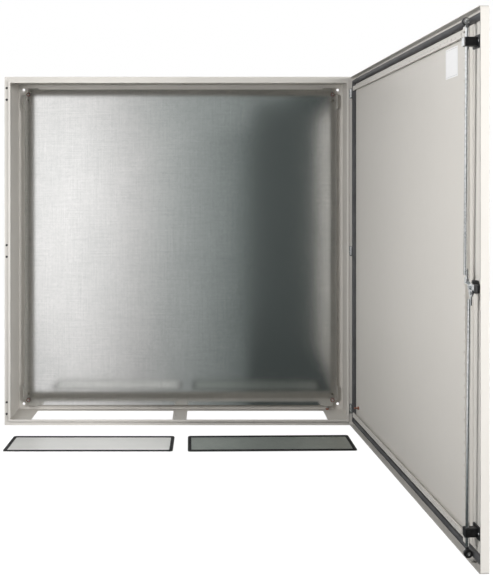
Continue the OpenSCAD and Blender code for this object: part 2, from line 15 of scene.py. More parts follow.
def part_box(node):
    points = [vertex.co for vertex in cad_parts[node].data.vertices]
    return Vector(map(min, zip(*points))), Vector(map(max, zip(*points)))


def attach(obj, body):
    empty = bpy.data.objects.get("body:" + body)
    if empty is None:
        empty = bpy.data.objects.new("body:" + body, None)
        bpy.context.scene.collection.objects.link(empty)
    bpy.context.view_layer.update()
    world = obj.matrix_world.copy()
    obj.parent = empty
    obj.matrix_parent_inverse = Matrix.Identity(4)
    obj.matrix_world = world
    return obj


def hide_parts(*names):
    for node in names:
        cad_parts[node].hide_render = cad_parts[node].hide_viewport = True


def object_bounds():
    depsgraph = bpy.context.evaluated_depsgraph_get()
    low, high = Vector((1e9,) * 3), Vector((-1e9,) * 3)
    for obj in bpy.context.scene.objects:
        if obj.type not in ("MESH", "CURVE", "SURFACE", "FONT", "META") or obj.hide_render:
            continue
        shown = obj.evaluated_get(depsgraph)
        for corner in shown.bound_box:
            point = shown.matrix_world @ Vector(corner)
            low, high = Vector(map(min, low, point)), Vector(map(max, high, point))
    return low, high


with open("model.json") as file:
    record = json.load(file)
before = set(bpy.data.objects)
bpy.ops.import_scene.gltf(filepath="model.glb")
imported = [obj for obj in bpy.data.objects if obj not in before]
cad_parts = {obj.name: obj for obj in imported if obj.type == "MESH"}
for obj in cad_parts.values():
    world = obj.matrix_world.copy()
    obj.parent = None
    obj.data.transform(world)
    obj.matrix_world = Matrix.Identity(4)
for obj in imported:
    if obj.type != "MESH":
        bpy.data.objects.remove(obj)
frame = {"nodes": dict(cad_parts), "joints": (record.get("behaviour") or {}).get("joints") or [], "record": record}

CAD_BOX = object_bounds()
MM = 0.001
LOG = logging.getLogger("enclosure")

Colour = tuple[float, float, float]
Place = tuple[float, float, float]


class Rides(Enum):
    """The rigid bodies that a piece can move with."""

    BODY = "body"
    DOOR = "door"
    LOCK = "lock"
    UPPER_ROD = "upper_rod"
    LOWER_ROD = "lower_rod"
    UPPER_ROLLER = "upper_roller"
    LOWER_ROLLER = "lower_roller"


class Slot(Enum):
    """The record's material slots."""

    PAINT = "paint"
    GALVANISED = "galvanised"
    ZINC = "zinc"
    FOAM = "foam"
    BLACK = "black_plastic"
    COPPER = "copper"


class Side(Enum):
    """Which way round a part of the lock is drawn: the lower half is the upper, half turned."""

    UPPER = 1
    LOWER = -1


class Facing(Enum):
    """Which way a turned shape points on the shut door, with the turn that gets it there."""

    INWARD = (-90, "X")
    HINGE_SIDE = (90, "Y")
    FREE_SIDE = (-90, "Y")

    def turn(self) -> Matrix:
        """Returns the turn from +Z."""
        degrees, axis = self.value
        return Matrix.Rotation(math.radians(degrees), 4, axis)


# ---- materials ----


class Graph:
    """The node tree of one material, with short ways to add the nodes used here."""

    def __init__(self, name: str) -> None:
        """Starts a material.

        Args:
            name: The material's name.
        """
        self.material = bpy.data.materials.new(name)
        self.material.use_nodes = True
        self.tree = self.material.node_tree
        self.shader = self.tree.nodes["Principled BSDF"]
        self.place = self.tree.nodes.new("ShaderNodeTexCoord").outputs["Object"]

    def node(self, kind: str, **fields: object) -> bpy.types.Node:
        """Adds a node.

        Args:
            kind: The node's type.
            fields: Properties to set on it.

        Returns:
            The new node.
        """
        made = self.tree.nodes.new(kind)
        for key, value in fields.items():
            setattr(made, key, value)
        return made

    def feed(self, value: object, socket: bpy.types.NodeSocket) -> None:
        """Links a socket, or writes a constant, into an input.

        Args:
            value: An output socket or a constant.
            socket: The input that takes it.
        """
        if isinstance(value, bpy.types.NodeSocket):
            self.tree.links.new(value, socket)
        else:
            socket.default_value = value

    def stretched(self, scale: Sequence[float]) -> bpy.types.NodeSocket:
        """Scales the surface position along each axis.

        Args:
            scale: Three factors.

        Returns:
            The scaled position.
        """
        mapping = self.node("ShaderNodeMapping")
        mapping.inputs["Scale"].default_value = scale
        self.feed(self.place, mapping.inputs["Vector"])
        return mapping.outputs["Vector"]

    def noise(self, scale: float, detail: float = 2.0, rough: float = 0.5,
              stretch: Sequence[float] = (1, 1, 1), twist: float = 0.0) -> bpy.types.NodeSocket:
        """Adds fractal noise.

        Args:
            scale: Features per metre.
            detail: Octaves.
            rough: Weight of the finer octaves.
            stretch: Scale along each axis.
            twist: Distortion.

        Returns:
            The noise value, about 0 to 1.
        """
        made = self.node("ShaderNodeTexNoise")
        self.feed(self.stretched(stretch), made.inputs["Vector"])
        for key, value in (("Scale", scale), ("Detail", detail), ("Roughness", rough),
                           ("Distortion", twist)):
            made.inputs[key].default_value = value
        return made.outputs["Fac"]

    def cells(self, scale: float) -> bpy.types.NodeSocket:
        """Fills the surface with irregular cells.

        Args:
            scale: Cells per metre.

        Returns:
            One random value for each cell.
        """
        made = self.node("ShaderNodeTexVoronoi")
        self.feed(self.place, made.inputs["Vector"])
        made.inputs["Scale"].default_value = scale
        return made.outputs["Color"]

    def ramp(self, value: object, stops: Sequence[tuple[float, float]]) -> bpy.types.NodeSocket:
        """Maps a value through straight steps.

        Args:
            value: The input.
            stops: Pairs of position and grey level.

        Returns:
            The mapped value.
        """
        made = self.node("ShaderNodeValToRGB")
        points = made.color_ramp.elements
        while len(points) < len(stops):
            points.new(0.5)
        for point, (place, grey) in zip(points, stops):
            point.position = place
            point.color = (grey, grey, grey, 1)
        self.feed(value, made.inputs["Fac"])
        return made.outputs["Color"]

    def blend(self, factor: object, low: object, high: object,
              mode: str = "MIX") -> bpy.types.NodeSocket:
        """Mixes two colours.

        Args:
            factor: How much of the second.
            low: The first colour.
            high: The second colour.
            mode: How they mix.

        Returns:
            The mixed colour.
        """
        made = self.node("ShaderNodeMix", data_type="RGBA", blend_type=mode)
        self.feed(factor, made.inputs[0])
        for value, socket in ((low, made.inputs[6]), (high, made.inputs[7])):
            if isinstance(value, tuple):
                value = (*value, 1.0)
            self.feed(value, socket)
        return made.outputs[2]

    def calc(self, kind: str, first: object, second: object = 0.0) -> bpy.types.NodeSocket:
        """Does a sum on two values.

        Args:
            kind: The sum's name.
            first: The first value.
            second: The second value.

        Returns:
            The result.
        """
        made = self.node("ShaderNodeMath", operation=kind)
        self.feed(first, made.inputs[0])
        self.feed(second, made.inputs[1])
        return made.outputs[0]

    def axis(self, letter: str) -> bpy.types.NodeSocket:
        """Reads one coordinate of the surface position.

        Args:
            letter: "X", "Y" or "Z".

        Returns:
            The coordinate in metres.
        """
        made = self.node("ShaderNodeSeparateXYZ")
        self.feed(self.place, made.inputs[0])
        return made.outputs[letter]

    def relief(self, height: object, depth: float, strength: float = 1.0) -> None:
        """Presses a height pattern into the surface.

        Args:
            height: The pattern.
            depth: Its depth in metres.
            strength: How strongly it bends the normal.
        """
        made = self.node("ShaderNodeBump")
        made.inputs["Distance"].default_value = depth
        made.inputs["Strength"].default_value = strength
        self.feed(height, made.inputs["Height"])
        self.feed(made.outputs["Normal"], self.shader.inputs["Normal"])

    def finish(self, colour: object, rough: object, metal: float = 0.0,
               **more: float) -> bpy.types.Material:
        """Connects the surface's main values.

        Args:
            colour: Base colour.
            rough: Roughness.
            metal: 1 for bare metal.
            more: Other inputs of the shader, with spaces written as underscores.

        Returns:
            The finished material.
        """
        if isinstance(colour, tuple):
            colour = (*colour, 1.0)
        self.feed(colour, self.shader.inputs["Base Color"])
        self.feed(rough, self.shader.inputs["Roughness"])
        self.shader.inputs["Metallic"].default_value = metal
        for key, value in more.items():
            self.shader.inputs[key.replace("_", " ")].default_value = value
        return self.material


class Finish(Protocol):
    """Something that can make a material."""

    def material(self) -> bpy.types.Material:
        """Returns the finished material."""


@dataclass(frozen=True)
class PowderCoat:
    """Fine-textured light grey powder paint."""

    name: str = "powder_coat"
    colour: Colour = (0.67, 0.645, 0.605)
    shade: Colour = (0.615, 0.592, 0.555)
    grain: float = 900.0

    def material(self) -> bpy.types.Material:
        """Makes paint with orange peel, faint cloudiness and fine specks.

        Returns:
            The paint.
        """
        g = Graph(self.name)
        cloud = g.ramp(g.noise(2.2, 3), [(0.3, 0.0), (0.7, 1.0)])
        speck = g.ramp(g.noise(self.grain, 2, 0.6), [(0.35, 0.0), (0.65, 1.0)])
        colour = g.blend(g.calc("MULTIPLY", cloud, 0.45), self.colour, self.shade)
        colour = g.blend(g.calc("MULTIPLY", speck, 0.22), colour, self.shade)
        peel = g.noise(self.grain * 0.45, 3, 0.55)
        g.relief(peel, 0.00022, 0.55)
        rough = g.calc("ADD", g.calc("MULTIPLY", g.noise(30, 3), 0.12), 0.40)
        return g.finish(colour, rough, Specular_IOR_Level=0.45)


@dataclass(frozen=True)
class Galvanised:
    """Zinc-dipped sheet: fine rolling lines both ways, faint spangle and scuffs."""

    name: str = "galvanised"
    bright: Colour = (0.81, 0.81, 0.80)
    dull: Colour = (0.62, 0.635, 0.625)
    rough: float = 0.075
    metal: float = 1.0

    def material(self) -> bpy.types.Material:
        """Makes metal with a cross-hatch of hairlines over crystals and scuffs.

        Returns:
            The metal.
        """
        g = Graph(self.name)
        crystal = g.ramp(g.cells(120), [(0.0, 0.2), (1.0, 0.8)])
        cloud = g.noise(3.5, 4, 0.6, twist=0.4)
        across = g.noise(9, 5, 0.75, stretch=(1.0, 1.0, 60.0))
        along = g.noise(9, 5, 0.75, stretch=(60.0, 60.0, 1.0))
        hatch = g.calc("MULTIPLY", g.calc("ADD", across, along), 0.5)
        tone = g.calc("ADD", g.calc("MULTIPLY", cloud, 0.25),
                      g.calc("MULTIPLY", hatch, 0.65))
        tone = g.calc("ADD", tone, g.calc("MULTIPLY", crystal, 0.10))
        factor = g.ramp(tone, [(0.38, 0.0), (0.62, 1.0)])
        scuff = g.ramp(g.noise(26, 6, 0.8, stretch=(1.0, 1.0, 0.35)), [(0.60, 0.0), (0.72, 1.0)])
        colour = g.blend(factor, self.bright, self.dull)
        colour = g.blend(g.calc("MULTIPLY", scuff, 0.35), colour, self.dull)
        rough = g.calc("ADD", g.calc("MULTIPLY", hatch, 0.16), self.rough - 0.06)
        rough = g.calc("ADD", g.calc("MULTIPLY", cloud, 0.06), rough)
        g.relief(g.calc("ADD", hatch, g.calc("MULTIPLY", crystal, 0.2)), 0.00006, 0.35)
        return g.finish(colour, rough, self.metal)


@dataclass(frozen=True)
class ZincPlate:
    """Bright zinc plating on small steel parts."""

    name: str = "zinc_plate"
    bright: Colour = (0.86, 0.87, 0.88)
    dull: Colour = (0.66, 0.68, 0.69)
    rough: float = 0.20

    def material(self) -> bpy.types.Material:
        """Makes plated metal with faint handling marks.

        Returns:
            The plating.
        """
        g = Graph(self.name)
        mark = g.ramp(g.noise(160, 4, 0.65), [(0.42, 0.0), (0.68, 1.0)])
        colour = g.blend(mark, self.bright, self.dull)
        rough = g.calc("ADD", g.calc("MULTIPLY", g.noise(420, 3), 0.16), self.rough - 0.06)
        g.relief(g.noise(900, 3), 0.00004, 0.3)
        return g.finish(colour, rough, 1.0)


@dataclass(frozen=True)
class CopperPlate:
    """Dull copper plating on an earthing nut."""

    name: str = "copper_plate"
    bright: Colour = (0.55, 0.26, 0.17)
    dull: Colour = (0.30, 0.13, 0.10)

    def material(self) -> bpy.types.Material:
        """Makes tarnished copper.

        Returns:
            The copper.
        """
        g = Graph(self.name)
        mark = g.ramp(g.noise(220, 4, 0.6), [(0.38, 0.0), (0.66, 1.0)])
        g.relief(g.noise(800, 3), 0.00005, 0.3)
        rough = g.calc("ADD", g.calc("MULTIPLY", g.noise(300, 3), 0.2), 0.28)
        return g.finish(g.blend(mark, self.bright, self.dull), rough, 1.0)


@dataclass(frozen=True)
class SealFoam:
    """Closed-skin polyurethane foam, poured as a bead."""

    name: str = "seal_foam"
    skin: Colour = (0.045, 0.045, 0.048)
    worn: Colour = (0.085, 0.085, 0.088)
    gloss: float = 0.5

    def material(self) -> bpy.types.Material:
        """Makes a soft black skin with pores.

        Returns:
            The foam.
        """
        g = Graph(self.name)
        pore = g.ramp(g.noise(1400, 2, 0.6), [(0.45, 0.0), (0.6, 1.0)])
        cloud = g.ramp(g.noise(14, 4), [(0.35, 0.0), (0.7, 1.0)])
        g.relief(g.calc("ADD", pore, g.noise(260, 2)), 0.00018, 0.5)
        rough = g.calc("ADD", g.calc("MULTIPLY", pore, 0.12), 0.46)
        return g.finish(g.blend(cloud, self.skin, self.worn), rough,
                        Specular_IOR_Level=self.gloss)


@dataclass(frozen=True)
class BlackPolyamide:
    """Black moulded plastic with a fine spark-eroded texture."""

    name: str = "black_polyamide"
    base: Colour = (0.012, 0.012, 0.013)
    rubbed: Colour = (0.035, 0.035, 0.037)

    def material(self) -> bpy.types.Material:
        """Makes dark plastic with rubbed spots.

        Returns:
            The plastic.
        """
        g = Graph(self.name)
        rub = g.ramp(g.noise(70, 4, 0.6), [(0.45, 0.0), (0.75, 1.0)])
        g.relief(g.noise(1600, 2), 0.00006, 0.4)
        rough = g.calc("ADD", g.calc("MULTIPLY", g.noise(500, 2), 0.14), 0.36)
        return g.finish(g.blend(rub, self.base, self.rubbed), rough)


@dataclass(frozen=True)
class LabelPaper:
    """White coated paper of a blank label, or the grey line printed on it."""

    name: str = "label_paper"
    colour: Colour = (0.90, 0.90, 0.90)
    fibre: Colour = (0.84, 0.84, 0.845)

    def material(self) -> bpy.types.Material:
        """Makes paper with faint fibres.

        Returns:
            The paper.
        """
        g = Graph(self.name)
        factor = g.ramp(g.noise(700, 4, 0.7), [(0.4, 0.0), (0.65, 1.0)])
        g.relief(g.noise(900, 3), 0.00002, 0.3)
        return g.finish(g.blend(factor, self.colour, self.fibre), 0.42)


# ---- meshes ----


@dataclass(frozen=True)
class Ring:
    """One level of a lofted round shape, with optional lobes round its edge."""

    radius: float
    height: float
    lobes: int = 0
    depth: float = 0.0

    def points(self, count: int) -> list[Vector]:
        """Draws the ring about +Z.

        Args:
            count: How many points it has.

        Returns:
            The points in metres.
        """
        made = []
        for i in range(count):
            turn = 2 * math.pi * i / count
            r = self.radius + self.depth * math.cos(self.lobes * turn) * (self.lobes > 0)
            made.append(Vector((r * math.cos(turn), r * math.sin(turn), self.height)) * MM)
        return made


def object_from(name: str, mesh: bmesh.types.BMesh, smooth: bool = True) -> bpy.types.Object:
    """Turns a finished edit mesh into an object of the scene.

    Args:
        name: The piece's name.
        mesh: The edit mesh, which is freed.
        smooth: Whether faces are smooth, with edges sharper than 35 degrees kept.

    Returns:
        The new object.
    """
    bmesh.ops.recalc_face_normals(mesh, faces=mesh.faces)
    for face in mesh.faces:
        face.smooth = smooth
    for edge in mesh.edges:
        edge.smooth = edge.is_manifold and edge.calc_face_angle(0.0) < math.radians(35)
    data = bpy.data.meshes.new(name)
    mesh.to_mesh(data)
    mesh.free()
    made = bpy.data.objects.new(name, data)
    bpy.context.scene.collection.objects.link(made)
    return made


def loft(mesh: bmesh.types.BMesh, loops: Sequence[Sequence[Vector]], place: Matrix,
         closed: bool = False) -> None:
    """Adds a skin through rings of points, capped at both ends or closed into a ring.

    Args:
        mesh: The edit mesh that takes it.
        loops: Rings with the same number of points.
        place: Where it goes.
        closed: Whether the last ring joins the first.
    """
    rows = [[mesh.verts.new(place @ p) for p in loop] for loop in loops]
    pairs = list(zip(rows, rows[1:]))
    if closed:
        pairs.append((rows[-1], rows[0]))
    else:
        mesh.faces.new(rows[0][::-1])
        mesh.faces.new(rows[-1])
    for low, high in pairs:
        for i in range(len(low)):
            j = (i + 1) % len(low)
            mesh.faces.new((low[i], low[j], high[j], high[i]))


def turned(name: str, rings: Sequence[Ring], places: Sequence[Matrix],
           closed: bool = False, count: int = 48) -> bpy.types.Object:
    """Makes one piece of copies of a turned shape.

    Args:
        name: The piece's name.
        rings: The shape's levels along its axis.
        places: Where each copy goes.
        closed: Whether the shape is a ring with a bore.
        count: Points round each ring.

    Returns:
        The new object.
    """
    mesh = bmesh.new()
    for place in places:
        loft(mesh, [ring.points(count) for ring in rings], place, closed)
    return object_from(name, mesh)


def rounded_path(half_w: float, half_h: float, radius: float, steps: int = 8) -> list[Vector]:
    """Draws a rounded rectangle about the origin of the X-Z plane.

    Args:
        half_w: Half its width.
        half_h: Half its height.
        radius: Radius of its corners.
        steps: Straight pieces in each corner.

    Returns:
        Its points, once round.
    """
    made = []
    for sx, sz, start in ((1, 1, 0), (-1, 1, 90), (-1, -1, 180), (1, -1, 270)):
        for i in range(steps + 1):
            turn = math.radians(start + 90 * i / steps)
            made.append(Vector((sx * (half_w - radius) + radius * math.cos(turn), 0,
                                sz * (half_h - radius) + radius * math.sin(turn))))
    return made


# ---- where the door stands ----


class DoorFrame:
    """Turns places on the shut door, where its sizes are plain, into places at rest."""

    def __init__(self) -> None:
        """Reads the hinge from the record: its least value is the shut door."""
        hinge = next(j for j in frame["joints"] if j["name"] == "door_hinge")
        pin = Vector(hinge["pos_m"])
        opening = math.radians(-hinge["range_deg"][0])
        self.place = (Matrix.Translation(pin) @ Matrix.Rotation(opening, 4, "Z")
                      @ Matrix.Translation(-pin))

    def shut_box(self, node: str) -> tuple[Vector, Vector]:
        """Measures a node of the door, with the door shut.

        Args:
            node: The node.

        Returns:
            Its lowest and its highest corner.
        """
        back = self.place.inverted()
        points = [back @ v.co for v in frame["nodes"][node].data.vertices]
        return (Vector([min(p[i] for p in points) for i in range(3)]),
                Vector([max(p[i] for p in points) for i in range(3)]))

    def facing(self, x: float, y: float, z: float, way: Facing) -> Matrix:
        """Returns a placement at a point of the shut door, for a shape drawn about +Z.

        Args:
            x: Place across the door.
            y: Depth of the place.
            z: Height of the place.
            way: Which way the shape's +Z points.

        Returns:
            The placement at rest.
        """
        return self.place @ Matrix.Translation(Vector((x, y, z))) @ way.turn()


# ---- shared dressing ----


# The gland plates' foam: darker and less glossy than the door seal's foam.
DARKER_FOAM = SealFoam("darker_foam", (0.008, 0.008, 0.009), (0.022, 0.022, 0.023), 0.15)
# Painted light and shade: both gland plates are the same galvanised sheet. The left is drawn as a bright, nearly
# non-metallic copy and the right as a dark copy, for the light and reflection each catches.
LIT_SHEET_COPY = Galvanised("zinc_painted_light", (0.95, 0.95, 0.93), (0.88, 0.89, 0.87), 0.30, 0.12)
SHADED_SHEET_COPY = Galvanised("zinc_painted_shade", (0.60, 0.63, 0.59), (0.46, 0.49, 0.46), 0.32, 0.9)
PASSIVATED = CopperPlate("passivated_nut", (0.42, 0.20, 0.15), (0.20, 0.09, 0.07))
DARK_ZINC = ZincPlate("dark_washer", (0.34, 0.35, 0.36), (0.20, 0.21, 0.22), 0.35)

SLOT_FINISHES: dict[Slot, Finish] = {
    Slot.PAINT: PowderCoat(), Slot.GALVANISED: Galvanised(), Slot.ZINC: ZincPlate(),
    Slot.FOAM: SealFoam(), Slot.BLACK: BlackPolyamide(), Slot.COPPER: CopperPlate()}

# Nodes that look different from the rest of their slot. The two gland plates are one galvanised sheet, given a
# painted-light copy and a painted-shade copy.
NODE_FINISHES: dict[str, Finish] = {
    "plate_nuts": PASSIVATED, "plate_washers": DARK_ZINC,
    "gland_foam_left": DARKER_FOAM, "gland_foam_right": DARKER_FOAM,
    "gland_plate_left": LIT_SHEET_COPY, "gland_plate_right": SHADED_SHEET_COPY}


class Wardrobe:
    """Keeps one material for each finish and puts it on CAD nodes and on pieces."""

    def __init__(self) -> None:
        """Makes every material once."""
        self.materials = {slot: finish.material() for slot, finish in SLOT_FINISHES.items()}
        single = {finish: finish.material() for finish in dict.fromkeys(NODE_FINISHES.values())}
        self.node_materials = {node: single[finish] for node, finish in NODE_FINISHES.items()}

    def dress_nodes(self) -> None:
        """Puts the material of its slot, or its own, on every CAD node."""
        for row in frame["record"]["subparts"]:
            node = row["node"]
            data = frame["nodes"][node].data
            data.materials.clear()
            data.materials.append(self.node_materials.get(
                node, self.materials[Slot(row["material_slot"])]))

    def piece(self, made: bpy.types.Object, slot: Slot, body: Rides,
              replaces: Sequence[str] = ()) -> bpy.types.Object:
        """Dresses a piece, makes it ride, and reports it.

        Args:
            made: The piece.
            slot: The finish that it takes.
            body: The body that it moves with.
            replaces: CAD nodes that it stands for.

        Returns:
            The piece.
        """
        if not made.data.materials:
            made.data.materials.append(self.materials[slot])
        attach(made, body.value)
        if replaces:
            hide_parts(*replaces)
        LOG.info("%s rides on %s", made.name, body.value)
        return made


# ---- sub-assemblies ----


@dataclass
class ThreadedStuds:
    """Studs with a cut thread, which stand for plain CAD studs."""

    wardrobe: Wardrobe
    pitch: float = 1.25
    thread_depth: float = 0.55

    def rings(self, radius: float, length: float) -> list[Ring]:
        """Returns the levels of a stud that starts at its foot.

        Args:
            radius: Outer radius in millimetres.
            length: Length in millimetres.

        Returns:
            The levels, with a chamfered tip.
        """
        made = [Ring(radius, 0.0), Ring(radius, 1.0)]
        height = 1.0
        while height + self.pitch < length - 1.0:
            made.append(Ring(radius - self.thread_depth, height + self.pitch / 2))
            made.append(Ring(radius, height + self.pitch))
            height += self.pitch
        made.append(Ring(radius - 1.0, length))
        return made

    def build(self, node: str, places: Sequence[Matrix], radius: float, length: float,
              body: Rides, slot: Slot = Slot.ZINC) -> None:
        """Makes the studs that stand for a node.

        Args:
            node: The CAD node.
            places: Where each stud's foot is.
            radius: Outer radius in millimetres.
            length: Length in millimetres.
            body: The body that they move with.
            slot: The finish that they take.
        """
        made = turned(f"{node}_threaded", self.rings(radius, length), places, count=32)
        self.wardrobe.piece(made, slot, body, (node,))


@dataclass
class Carcass:
    """The body: studs, hinge screws and plugs with their real detail."""

    wardrobe: Wardrobe
    stud_radius: float = 4.0
    screw_head: float = 3.6
    screw_length: float = 11.9
    hole_pitch: float = 20.0
    plug_head: float = 4.0
    plug_thick: float = 1.2
    plug_shank: float = 2.25
    lone_plug_z: float = -35.0

    def build(self) -> None:
        """Makes every piece of the body."""
        self.build_plate_studs()
        self.build_hinge_screws()
        self.build_plugs()
        self.build_earth_stud()

    def corner_places(self, node: str, depth: float, turn: Matrix) -> list[Matrix]:
        """Returns a placement at each of a node's four corner parts.

        Args:
            node: The node with a part near each corner.
            depth: The placements' Y.
            turn: How each shape is turned.

        Returns:
            The four placements.
        """
        low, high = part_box(node)
        half = self.stud_radius * MM
        return [Matrix.Translation(Vector((x, depth, z))) @ turn
                for x in (low.x + half, high.x - half)
                for z in (low.z + half, high.z - half)]

    def build_plate_studs(self) -> None:
        """Makes the four threaded studs of the mounting plate."""
        low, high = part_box("plate_studs")
        turn = Matrix.Rotation(math.radians(90), 4, "X")
        length = (high.y - low.y) / MM
        ThreadedStuds(self.wardrobe).build(
            "plate_studs", self.corner_places("plate_studs", high.y, turn), self.stud_radius,
            length, Rides.BODY)

    def build_earth_stud(self) -> None:
        """Makes the threaded earthing stud on the bottom wall."""
        low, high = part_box("earth_stud")
        middle = (low + high) / 2
        radius = (high.x - low.x) / 2 / MM
        place = Matrix.Translation(Vector((middle.x, middle.y, low.z)))
        ThreadedStuds(self.wardrobe, pitch=1.0, thread_depth=0.45).build(
            "earth_stud", [place], radius, (high.z - low.z) / MM, Rides.BODY)

    def build_hinge_screws(self) -> None:
        """Makes the six countersunk hinge screws, each with a six-lobed recess."""
        low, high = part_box("hinge_screws")
        x = (low.x + high.x) / 2
        head = self.screw_head
        rings = [Ring(2.0, self.screw_length), Ring(2.0, 2.0), Ring(head, 0.0),
                 Ring(1.55, 0.0, 6, 0.22), Ring(1.45, 1.5, 6, 0.22)]
        turn = Matrix.Rotation(math.radians(-90), 4, "X")
        pitch = self.hole_pitch * MM
        end = high.z - head * MM - pitch
        places = [Matrix.Translation(Vector((x, low.y, z + s * pitch))) @ turn
                  for z in (-end, 0.0, end) for s in (-1, 1)]
        made = turned("hinge_screws_lobed", rings, places, count=36)
        self.wardrobe.piece(made, Slot.ZINC, Rides.BODY, ("hinge_screws",))

    def build_plugs(self) -> None:
        """Makes the plugs, each with a domed head and a shank."""
        low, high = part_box("hole_plugs")
        head, pitch = self.plug_head, self.hole_pitch * MM
        thick, shank = self.plug_thick, self.plug_shank
        rings = [Ring(1.2, 0.0), Ring(2.8, 0.12), Ring(head - 0.35, 0.5), Ring(head, thick - 0.2),
                 Ring(head, thick), Ring(shank, thick), Ring(shank, thick + 3.0),
                 Ring(shank - 0.45, thick + 3.45)]
        turn = Matrix.Rotation(math.radians(-90), 4, "X")
        left, right = low.x + head * MM, high.x - head * MM
        end = high.z - head * MM - pitch
        spots = [(left, z + s * pitch) for z in (-end, 0.0, end) for s in (-1, 1)]
        spots.append((right, self.lone_plug_z * MM))
        places = [Matrix.Translation(Vector((x, low.y, z))) @ turn for x, z in spots]
        made = turned("hole_plugs_domed", rings, places, count=32)
        self.wardrobe.piece(made, Slot.BLACK, Rides.BODY, ("hole_plugs",))


@dataclass
class DoorSeal:
    """The poured foam bead round the inside of the door."""

    wardrobe: Wardrobe
    door: DoorFrame
    corner: float = 8.0
    least_corner: float = 0.8
    width: float = 15.0

    def profile(self, height: float) -> list[tuple[float, float]]:
        """Returns the bead's section.

        Args:
            height: The crown's height in millimetres.

        Returns:
            Pairs of place across the bead, from 0 at its outer edge, and height.
        """
        shape = ((0.0, 0.0), (0.0, 0.40), (0.035, 0.60), (0.12, 0.78), (0.26, 0.92),
                 (0.40, 0.985), (0.50, 1.0), (0.60, 0.985), (0.74, 0.92), (0.88, 0.78),
                 (0.965, 0.60), (1.0, 0.40), (1.0, 0.0))
        return [(u * self.width, h * height) for u, h in shape]

    def build(self) -> None:
        """Sweeps the bead's section round the door."""
        low, high = self.door.shut_box("door_seal")
        half_w, half_h = (high.x - low.x) / 2, (high.z - low.z) / 2
        middle = Vector(((low.x + high.x) / 2, 0, (low.z + high.z) / 2))
        height = (high.y - low.y) / MM
        mesh = bmesh.new()
        loops = []
        for across, up in self.profile(height):
            inset = across * MM
            radius = max(self.corner * MM - inset, self.least_corner * MM)
            path = rounded_path(half_w - inset, half_h - inset, radius)
            loops.append([p + middle + Vector((0, low.y + up * MM, 0)) for p in path])
        loft(mesh, loops, self.door.place, closed=True)
        seal = self.wardrobe.piece(object_from("door_seal_bead", mesh), Slot.FOAM,
                                   Rides.DOOR, ("door_seal",))


